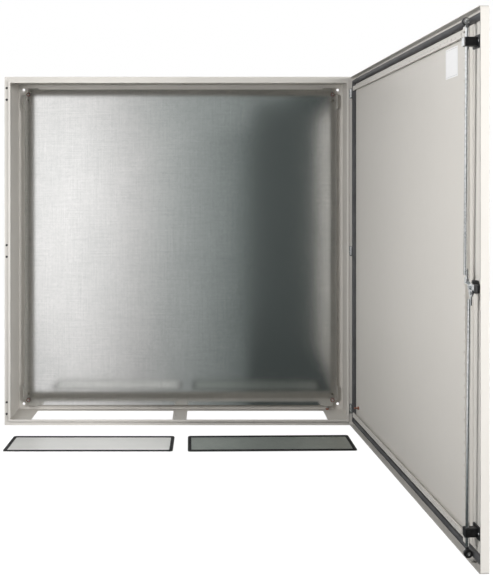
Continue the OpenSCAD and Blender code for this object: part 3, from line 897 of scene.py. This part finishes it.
@dataclass
class DoorFittings:
    """The blank label, the earthing stud, the guides' screws and the cap of the tongue."""

    wardrobe: Wardrobe
    door: DoorFrame
    label_left: float = -413.0
    label_right: float = -331.0
    label_low: float = 472.0
    label_high: float = 542.0
    label_thick: float = 0.25
    label_margin: float = 3.0
    label_corner: float = 3.0
    guide_foot: float = 3.0
    screw_inset: float = 5.5
    cap_half_w: float = 10.6
    cap_half_h: float = 8.6
    cap_corner: float = 2.2
    cap_overhang: float = 0.2
    cap_sink: float = 0.8

    def build(self) -> None:
        """Makes every small fitting of the door."""
        self.build_label()
        self.build_earth_stud()
        self.build_guide_screws()
        self.build_tongue_cap()

    def build_label(self) -> None:
        """Makes a blank white label with a thin grey line printed round it."""
        panel = self.door.shut_box("rail_top")[0].y
        x0, x1 = self.label_left * MM, self.label_right * MM
        z0, z1 = self.label_low * MM, self.label_high * MM
        middle = Vector(((x0 + x1) / 2, panel, (z0 + z1) / 2))
        half_w, half_h = (x1 - x0) / 2, (z1 - z0) / 2
        thick, rim = self.label_thick * MM, self.label_margin * MM
        mesh = bmesh.new()
        levels = ((0.0, 0.0, 0), (0.0, thick * 0.8, 0), (0.2 * MM, thick, 0), (rim, thick, 0),
                  (rim + 0.6 * MM, thick, 1), (rim + 0.8 * MM, thick, 0))
        loops = []
        for inset, up, _ in levels:
            path = rounded_path(half_w - inset, half_h - inset,
                                max(self.label_corner * MM - inset, 0.4 * MM), 4)
            loops.append([p + middle + Vector((0, up, 0)) for p in path])
        loft(mesh, loops, self.door.place)
        mesh.faces.ensure_lookup_table()
        count = len(loops[0])
        for i, (_, _, ink) in enumerate(levels[1:]):
            for face in mesh.faces[2 + i * count:2 + (i + 1) * count]:
                face.material_index = ink
        label = object_from("blank_label", mesh, smooth=False)
        label.data.materials.append(LabelPaper().material())
        label.data.materials.append(
            LabelPaper("label_line", (0.35, 0.35, 0.36), (0.28, 0.28, 0.29)).material())
        self.wardrobe.piece(label, Slot.PAINT, Rides.DOOR)

    def build_earth_stud(self) -> None:
        """Makes the door's threaded earthing stud."""
        low, high = self.door.shut_box("door_earth_stud")
        middle = (low + high) / 2
        place = self.door.facing(middle.x, low.y, middle.z, Facing.INWARD)
        ThreadedStuds(self.wardrobe, pitch=1.0, thread_depth=0.45).build(
            "door_earth_stud", [place], (high.x - low.x) / 2 / MM, (high.y - low.y) / MM,
            Rides.DOOR, Slot.COPPER)

    def build_guide_screws(self) -> None:
        """Makes two pan-head screws on each guide's foot."""
        rings = [Ring(2.9, 0.0), Ring(2.9, 0.7), Ring(2.5, 1.5), Ring(1.9, 1.9),
                 Ring(1.15, 2.0, 4, 0.28), Ring(0.95, 0.9, 4, 0.28)]
        places = []
        for node in ("rod_guide_upper", "rod_guide_lower"):
            low, high = self.door.shut_box(node)
            middle = (low + high) / 2
            reach = (high.x - low.x) / 2 - self.screw_inset * MM
            seat = low.y + self.guide_foot * MM
            places += [self.door.facing(middle.x + s * reach, seat, middle.z, Facing.INWARD)
                       for s in (-1, 1)]
        made = turned("guide_screws", rings, places, count=24)
        self.wardrobe.piece(made, Slot.ZINC, Rides.DOOR)

    def build_tongue_cap(self) -> None:
        """Makes the moulded glide that caps the tip of the lock's tongue."""
        low, _ = self.door.shut_box("lock_cam")
        half_w, half_h = self.cap_half_w * MM, self.cap_half_h * MM
        middle = Vector((low.x - self.cap_overhang * MM + half_w,
                         low.y - self.cap_sink * MM, 0.0))
        loops = []
        for inset, up in ((0.6, 0.0), (0.0, 0.6), (0.0, 3.6), (0.4, 4.4), (1.4, 5.0),
                          (3.4, 5.0), (4.0, 4.6)):
            path = rounded_path(half_w - inset * MM, half_h - inset * MM,
                                self.cap_corner * MM, 5)
            loops.append([p + middle + Vector((0, up * MM, 0)) for p in path])
        mesh = bmesh.new()
        loft(mesh, loops, self.door.place)
        self.wardrobe.piece(object_from("tongue_cap", mesh), Slot.BLACK, Rides.LOCK)


@dataclass
class RodEnd:
    """One end of the lock's rod system: a moulded roller and its domed rivet."""

    wardrobe: Wardrobe
    door: DoorFrame
    side: Side

    def build(self) -> None:
        """Makes the roller and its rivet."""
        upper = self.side is Side.UPPER
        word = "upper" if upper else "lower"
        roller, pin = f"{word}_roller", f"{word}_roller_pin"
        out = Facing.HINGE_SIDE if upper else Facing.FREE_SIDE
        low, high = self.door.shut_box(roller)
        middle = (low + high) / 2
        start = low.x if upper else high.x
        radius, width = (high.z - low.z) / 2 / MM, (high.x - low.x) / MM
        place = self.door.facing(start, middle.y, middle.z, out)
        self.wardrobe.piece(
            turned(f"{roller}_moulded", self.roller_rings(radius, width), [place], closed=True),
            Slot.BLACK, Rides.UPPER_ROLLER if upper else Rides.LOWER_ROLLER, (roller,))
        low, high = self.door.shut_box(pin)
        start = low.x if upper else high.x
        place = self.door.facing(start, middle.y, middle.z, out)
        self.wardrobe.piece(
            turned(f"{pin}_domed", self.rivet_rings((high.x - low.x) / MM), [place]),
            Slot.ZINC, Rides.UPPER_ROD if upper else Rides.LOWER_ROD, (pin,))

    def roller_rings(self, radius: float, width: float) -> list[Ring]:
        """Returns the section of a roller with rounded rims and a raised hub.

        Args:
            radius: Outer radius in millimetres.
            width: Width in millimetres.

        Returns:
            The section, once round.
        """
        half = [(2.6, 0.0), (4.6, 0.0), (5.0, 0.7), (radius - 2.4, 0.7), (radius - 1.9, 0.15),
                (radius - 1.0, 0.0), (radius - 0.3, 0.3), (radius, 1.0)]
        other = [(r, width - h) for r, h in reversed(half)]
        return [Ring(r, h) for r, h in half + other]

    def rivet_rings(self, length: float) -> list[Ring]:
        """Returns the levels of a rivet with a wide domed head and a small one.

        Args:
            length: Overall length in millimetres.

        Returns:
            The levels from the wide head to the small one.
        """
        end = length - 1.2
        return [Ring(1.6, 0.0), Ring(3.0, 0.15), Ring(4.1, 0.6), Ring(4.6, 1.2), Ring(4.6, 1.6),
                Ring(2.5, 1.6), Ring(2.5, end), Ring(3.4, end), Ring(3.3, end + 0.6),
                Ring(2.3, end + 1.05), Ring(1.0, length)]


# ---- studio ----


@dataclass(frozen=True)
class Step:
    """One stop of a card's brightness across its width, in metres."""

    place: float
    level: float


@dataclass(frozen=True)
class Lamp:
    """A soft square lamp: where it stands, what it faces, its side and its power in watts."""

    name: str
    place: Place
    aim: Place
    size: float
    power: float

    def light(self) -> None:
        """Adds the lamp, which mirroring surfaces don't show."""
        data = bpy.data.lights.new(self.name, "AREA")
        data.size = self.size
        data.energy = self.power
        made = bpy.data.objects.new(self.name, data)
        made.location = self.place
        aim = Vector(self.aim) - Vector(self.place)
        made.rotation_euler = aim.to_track_quat("-Z", "Y").to_euler()
        made.visible_glossy = False
        bpy.context.scene.collection.objects.link(made)


@dataclass
class Studio:
    """Plain pale floor, soft light, glowing cards that bare metal mirrors as a painted reflection, and the camera.
    """

    lamps: tuple[Lamp, ...] = (
        Lamp("key", (-0.62, -1.80, 0.45), (0.25, -0.8, 0.0), 0.5, 21),
        Lamp("fill", (2.1, -3.6, 0.6), (-0.1, -0.4, 0.0), 0.6, 88),
        Lamp("rear", (1.4, 3.2, 1.9), (0.0, 0.0, 0.0), 1.5, 55))
    eye: Place = (0.1001, -3.2695, 0.2074)
    lens: float = 54.857
    shift: tuple[float, float] = (0.0667, -0.1711)
    ambient: float = 0.09
    sky: Colour = (1.0, 0.985, 0.96)
    # Strength and tints of the painted reflection: its bright parts near white, its dim parts faintly cyan.
    card_power: float = 1.22
    card_bright: Colour = (1.0, 0.985, 0.985)
    card_dim: Colour = (0.86, 1.0, 0.98)
    card_depth: float = -3.3
    card_reach: float = 3.0
    card_span: float = 1.3
    fade_span: float = 7.0
    floor_gap: float = 0.0004
    floor_reach: float = 60.0
    floor_shade: float = 0.52
    floor_glow: float = 1.3
    glow_share: float = 0.75

    def build(self) -> None:
        """Makes the floor, the world, the lamps, the cards and the camera."""
        self.build_floor()
        self.build_world()
        for lamp in self.lamps:
            lamp.light()
        self.build_cards()
        self.build_camera()

    def seen_directly(self, tree: bpy.types.NodeTree,
                      words: Sequence[str]) -> bpy.types.NodeSocket:
        """Returns 1 for the kinds of ray that are named.

        Args:
            tree: The node tree that asks.
            words: Outputs of the light path.

        Returns:
            Their largest value.
        """
        path = tree.nodes.new("ShaderNodeLightPath")
        total = path.outputs[words[0]]
        for word in words[1:]:
            add = tree.nodes.new("ShaderNodeMath")
            add.operation = "MAXIMUM"
            tree.links.new(total, add.inputs[0])
            tree.links.new(path.outputs[word], add.inputs[1])
            total = add.outputs[0]
        return total

    def build_floor(self) -> None:
        """Makes a wide pale floor that keeps the object's shadow."""
        mesh = bmesh.new()
        bmesh.ops.create_grid(mesh, x_segments=1, y_segments=1, size=self.floor_reach)
        floor = object_from("floor", mesh, smooth=False)
        floor.location = (0, 0, CAD_BOX[0][2] - self.floor_gap)
        material = bpy.data.materials.new("pale_floor")
        material.use_nodes = True
        tree = material.node_tree
        shader = tree.nodes["Principled BSDF"]
        shader.inputs["Base Color"].default_value = (*[self.floor_shade] * 3, 1)
        shader.inputs["Roughness"].default_value = 0.9
        shader.inputs["Specular IOR Level"].default_value = 0.0
        glow = tree.nodes.new("ShaderNodeEmission")
        mix = tree.nodes.new("ShaderNodeMixShader")
        share = tree.nodes.new("ShaderNodeMath")
        share.operation = "MULTIPLY"
        share.inputs[1].default_value = self.glow_share
        seen = self.seen_directly(tree, ("Is Camera Ray",))
        tree.links.new(seen, share.inputs[0])
        tree.links.new(share.outputs[0], mix.inputs[0])
        tree.links.new(shader.outputs[0], mix.inputs[1])
        tree.links.new(glow.outputs[0], mix.inputs[2])
        tree.links.new(mix.outputs[0], tree.nodes["Material Output"].inputs["Surface"])
        glow.inputs["Color"].default_value = (1.0, 1.0, 1.0, 1)
        glow.inputs["Strength"].default_value = self.floor_glow
        floor.data.materials.append(material)

    def build_world(self) -> None:
        """Makes a white surround with a lower level for what it lights."""
        world = bpy.data.worlds.new("studio")
        bpy.context.scene.world = world
        world.use_nodes = True
        tree = world.node_tree
        tree.nodes.clear()
        lit = tree.nodes.new("ShaderNodeBackground")
        lit.inputs["Color"].default_value = (*self.sky, 1)
        lit.inputs["Strength"].default_value = self.ambient
        seen = tree.nodes.new("ShaderNodeBackground")
        seen.inputs["Color"].default_value = (1.0, 1.0, 1.0, 1)
        mix = tree.nodes.new("ShaderNodeMixShader")
        out = tree.nodes.new("ShaderNodeOutputWorld")
        factor = self.seen_directly(
            tree, ("Is Camera Ray", "Is Glossy Ray", "Is Transmission Ray"))
        tree.links.new(factor, mix.inputs[0])
        tree.links.new(lit.outputs[0], mix.inputs[1])
        tree.links.new(seen.outputs[0], mix.inputs[2])
        tree.links.new(mix.outputs[0], out.inputs["Surface"])

    def build_cards(self) -> None:
        """Makes the graded cards behind the camera and over the floor, which paint a reflection onto the mounting
        plate, bright at its left and dark at its right.
        """
        z0 = CAD_BOX[0][2]
        far, near, side, over = self.card_depth, -0.03, self.card_reach, z0 + 0.0002
        # Painted reflection: the mounting plate's levels from left to right, bright at the left and dark at the
        # right.
        across = (Step(-0.65, 0.92), Step(-0.395, 0.98), Step(-0.306, 0.86), Step(-0.222, 0.72),
                  Step(-0.133, 0.57), Step(-0.044, 0.45), Step(0.05, 0.35), Step(0.135, 0.27),
                  Step(0.224, 0.19), Step(0.265, 0.075), Step(0.65, 0.07))
        seam = [(side, far, 0.95), (0.44, far, 0.86), (0.40, far, 0.66), (-side, far, 0.66)]
        self.card("wall_card", [(-side, far, z0), (side, far, z0), *seam],
                  across, "Z", (Step(-0.6, 0.90), Step(0.1, 1.0)))
        # Painted reflection above the seam, graded the same way across the plate.
        top = (Step(-0.65, 0.82), Step(-0.485, 0.90), Step(-0.306, 0.78), Step(-0.222, 0.65),
               Step(-0.133, 0.52), Step(-0.044, 0.41), Step(0.05, 0.35), Step(0.224, 0.27),
               Step(0.323, 0.24), Step(0.387, 0.20), Step(0.427, 0.09), Step(0.65, 0.06))
        self.card("top_card", [*seam[::-1], (side, far, 2.6), (-side, far, 2.6)],
                  top, "Z", (Step(0.66, 1.0), Step(2.6, 1.0)))
        # Painted reflection of the floor, dimmer towards the body.
        self.card("ground_card", [(-side, far, over), (side, far, over), (side, near, over),
                                  (-side, near, over)],
                  across, "Y", (Step(far, 0.90), Step(-0.8, 0.74), Step(near, 0.68)))

    def card(self, name: str, corners: Sequence[Place], across: Sequence[Step], axis: str,
             fade: Sequence[Step]) -> None:
        """Makes a card that only mirroring surfaces see.

        It is a painted reflection, graded so that the upright mounting plate shows the levels at their own places.

        Args:
            name: The card's name.
            corners: Its outline.
            across: Its brightness by place across the mounting plate: the levels of the painted reflection.
            axis: The axis along which it also fades.
            fade: How it fades along that axis.
        """
        mesh = bmesh.new()
        mesh.faces.new([mesh.verts.new(c) for c in corners])
        made = object_from(name, mesh, smooth=False)
        g = Graph(f"{name}_glow")
        reach = g.calc("DIVIDE", g.axis("Y"), self.eye[1])
        shift = g.calc("MULTIPLY", reach, self.eye[0])
        place = g.calc("DIVIDE", g.calc("ADD", g.axis("X"), shift), g.calc("ADD", reach, 1.0))
        level = g.ramp(g.calc("ADD", g.calc("DIVIDE", place, self.card_span), 0.5),
                       [(s.place / self.card_span + 0.5, s.level) for s in across])
        dim = g.ramp(g.calc("ADD", g.calc("DIVIDE", g.axis(axis), self.fade_span), 0.5),
                     [(s.place / self.fade_span + 0.5, s.level) for s in fade])
        tint = g.blend(g.ramp(level, [(0.1, 0.0), (0.6, 1.0)]), self.card_dim, self.card_bright)
        glow = g.node("ShaderNodeEmission")
        g.feed(g.blend(1.0, g.blend(1.0, level, dim, "MULTIPLY"), tint, "MULTIPLY"),
               glow.inputs["Color"])
        glow.inputs["Strength"].default_value = self.card_power
        g.feed(glow.outputs[0], g.tree.nodes["Material Output"].inputs["Surface"])
        made.data.materials.append(g.material)
        for view in ("camera", "diffuse", "shadow", "transmission", "volume_scatter"):
            setattr(made, f"visible_{view}", False)

    def build_camera(self) -> None:
        """Places the camera level, straight on to the body."""
        data = bpy.data.cameras.new("camera")
        data.sensor_width = 36
        data.lens = self.lens
        data.shift_x, data.shift_y = self.shift
        data.clip_end = 200
        made = bpy.data.objects.new("camera", data)
        made.location = self.eye
        made.rotation_euler = (math.radians(90), 0, 0)
        bpy.context.scene.collection.objects.link(made)
        bpy.context.scene.camera = made
        bpy.context.scene.view_settings.view_transform = "Standard"


def main() -> None:
    """Builds the sub-assemblies in order."""
    logging.basicConfig(level=logging.INFO, format="%(name)s: %(message)s")
    door = DoorFrame()
    Studio().build()
    wardrobe = Wardrobe()
    wardrobe.dress_nodes()
    Carcass(wardrobe).build()
    DoorSeal(wardrobe, door).build()
    DoorFittings(wardrobe, door).build()
    for side in Side:
        RodEnd(wardrobe, door, side).build()


if __name__ == "__main__":
    main()
